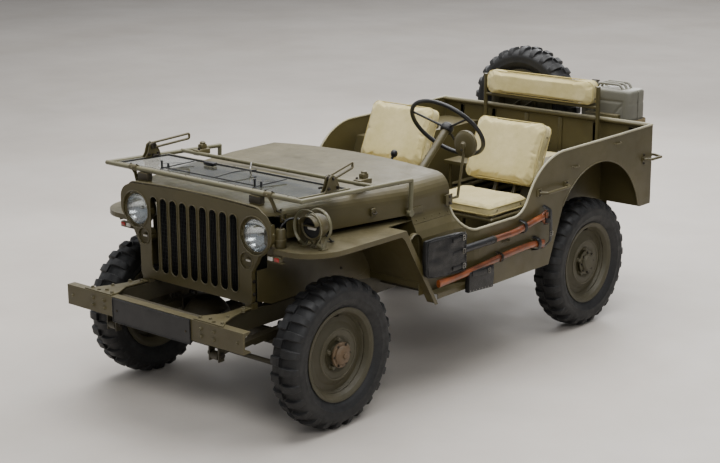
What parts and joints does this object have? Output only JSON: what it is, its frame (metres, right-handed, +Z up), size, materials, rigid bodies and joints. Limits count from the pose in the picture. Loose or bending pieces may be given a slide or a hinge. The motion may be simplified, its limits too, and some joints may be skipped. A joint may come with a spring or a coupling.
{
  "type": "army 4x4 car",
  "caption": "Open unarmed army utility car with four-wheel drive, folded windshield, canvas seats, spare wheel, fuel can and side tools.",
  "frame": {"origin": "middle of the car's length and width, on the ground under the tyres", "axes": "-Y is the front of the car, +X the driver's (left) side, +Z up"},
  "size_m": [1.5764, 3.314, 1.396],
  "materials": {
    "army_paint": "satin olive drab with a few scratches",
    "fittings_paint": "satin olive drab",
    "wheel_paint": "satin olive drab",
    "chassis_paint": "dull olive drab, dusty",
    "tyre_rubber": "matt black rubber",
    "canvas": "cream canvas, lightly soiled",
    "windshield_glass": "clear flat glass",
    "wheel_plastic": "dark olive moulded rim",
    "lever_metal": "dark paint, worn",
    "engine_metal": "painted castings",
    "radiator_black": "matt black",
    "exhaust_metal": "brown oxidised steel",
    "can_paint": "grey-olive paint",
    "plate_black": "satin black, blank",
    "tool_wood": "varnished ash, black leather covers"
  },
  "bodies": {
    "chassis": {"frame": "chassis_paint", "front_bumper": "army_paint", "front_plate": "plate_black", "rear_bumperettes": "fittings_paint", "pintle_hook": "chassis_paint", "front_axle": "chassis_paint", "rear_axle": "chassis_paint", "leaf_springs": "chassis_paint", "spare_tyre": "tyre_rubber", "spare_wheel": "wheel_paint", "body_tub": "army_paint", "cowl": "army_paint", "hood": "army_paint", "grille": "army_paint", "fender_left": "army_paint", "fender_right": "army_paint", "steering_column": "chassis_paint", "driver_seat_frame": "fittings_paint", "driver_cushions": "canvas", "rear_seat_frame": "fittings_paint", "rear_cushions": "canvas", "control_levers": "lever_metal", "engine": "engine_metal", "radiator": "radiator_black", "gearbox": "engine_metal", "exhaust": "exhaust_metal", "fuel_can": "can_paint", "lamps": "fittings_paint", "side_mirror": "fittings_paint", "grab_handles": "fittings_paint", "shovel": "tool_wood", "axe": "tool_wood"},
    "knuckle_left": {"knuckle_left": "chassis_paint"},
    "knuckle_right": {"knuckle_right": "chassis_paint"},
    "tie_rod": {"tie_rod": "chassis_paint"},
    "wheel_front_left": {"wheel_front_left": "wheel_paint", "tyre_front_left": "tyre_rubber"},
    "wheel_front_right": {"wheel_front_right": "wheel_paint", "tyre_front_right": "tyre_rubber"},
    "wheel_rear_left": {"wheel_rear_left": "wheel_paint", "tyre_rear_left": "tyre_rubber"},
    "wheel_rear_right": {"wheel_rear_right": "wheel_paint", "tyre_rear_right": "tyre_rubber"},
    "steering_wheel": {"steering_wheel": "wheel_plastic"},
    "windshield": {"windshield_frame": "army_paint", "windshield_glass": "windshield_glass"},
    "passenger_seat": {"passenger_seat_frame": "fittings_paint", "passenger_cushions": "canvas"}
  },
  "joints": [
    {"name": "steer_left", "type": "hinge", "parent": "chassis", "child": "knuckle_left", "pos_m": [0.56, -1.1115, 0.353], "axis": [0, 0, 1], "range_deg": [-27, 27]},
    {"name": "steer_right", "type": "hinge", "parent": "chassis", "child": "knuckle_right", "pos_m": [-0.56, -1.1115, 0.353], "axis": [0, 0, 1], "range_deg": [-27, 27]},
    {"name": "tie_rod_ball", "type": "hinge", "parent": "knuckle_left", "child": "tie_rod", "pos_m": [0.56, -1.2615, 0.2907], "axis": [0, 0, 1], "range_deg": [-27.5, 27.5]},
    {"name": "steering_wheel_turn", "type": "hinge", "parent": "chassis", "child": "steering_wheel", "pos_m": [0.345, 0.0885, 1.187], "axis": [0, 0.7547, 0.6561], "range_deg": [-380, 380]},
    {"name": "front_left_spin", "type": "hinge", "parent": "knuckle_left", "child": "wheel_front_left", "pos_m": [0.622, -1.1115, 0.353], "axis": [1, 0, 0], "continuous": true},
    {"name": "front_right_spin", "type": "hinge", "parent": "knuckle_right", "child": "wheel_front_right", "pos_m": [-0.622, -1.1115, 0.353], "axis": [1, 0, 0], "continuous": true},
    {"name": "rear_left_spin", "type": "hinge", "parent": "chassis", "child": "wheel_rear_left", "pos_m": [0.622, 0.9205, 0.353], "axis": [1, 0, 0], "continuous": true},
    {"name": "rear_right_spin", "type": "hinge", "parent": "chassis", "child": "wheel_rear_right", "pos_m": [-0.622, 0.9205, 0.353], "axis": [1, 0, 0], "continuous": true},
    {"name": "windshield_fold", "type": "hinge", "parent": "chassis", "child": "windshield", "pos_m": [0, -0.5775, 0.913], "axis": [-1, 0, 0], "range_deg": [0, 95]},
    {"name": "passenger_seat_tip", "type": "hinge", "parent": "chassis", "child": "passenger_seat", "pos_m": [-0.378, 0.1685, 0.5523], "axis": [1, 0, 0], "range_deg": [0, 50]}
  ],
  "couplings": [
    {"joint": "steer_right", "follows": "steer_left", "ratio": 1},
    {"joint": "tie_rod_ball", "follows": "steer_left", "ratio": -1},
    {"joint": "steering_wheel_turn", "follows": "steer_left", "ratio": 14}
  ]
}
